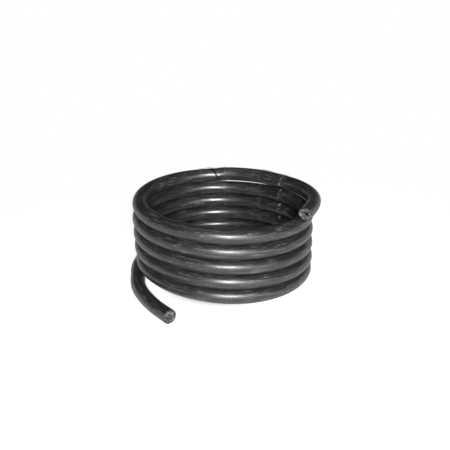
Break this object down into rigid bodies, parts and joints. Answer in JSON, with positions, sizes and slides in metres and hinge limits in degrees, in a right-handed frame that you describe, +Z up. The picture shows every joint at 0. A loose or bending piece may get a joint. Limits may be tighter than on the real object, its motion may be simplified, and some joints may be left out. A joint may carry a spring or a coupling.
{
  "type": "soaker hose",
  "caption": "Thick-walled black porous rubber watering hose, wound into a free-standing coil with bare square-cut ends and held by bands of clear film.",
  "frame": {"origin": "the point of the floor under the middle of the part's box, 7 mm in front of the coil's own axis and 1 mm to its right", "axes": "+Z up along the coil's axis, +X to the right towards the sprung top end, +Y to the back where the film bands are; the tail comes forward on the left (-X, -Y)"},
  "size_m": [0.211, 0.2188, 0.099],
  "materials": {
    "porous_rubber": "satin, extruded crumb rubber",
    "clear_film": "clear, glossy packing film"
  },
  "bodies": {
    "root": {"hose_coil": "porous_rubber", "hose_top_end": "porous_rubber", "hose_tail": "porous_rubber", "film_band_left": "clear_film", "film_band_right": "clear_film"}
  },
  "joints": []
}
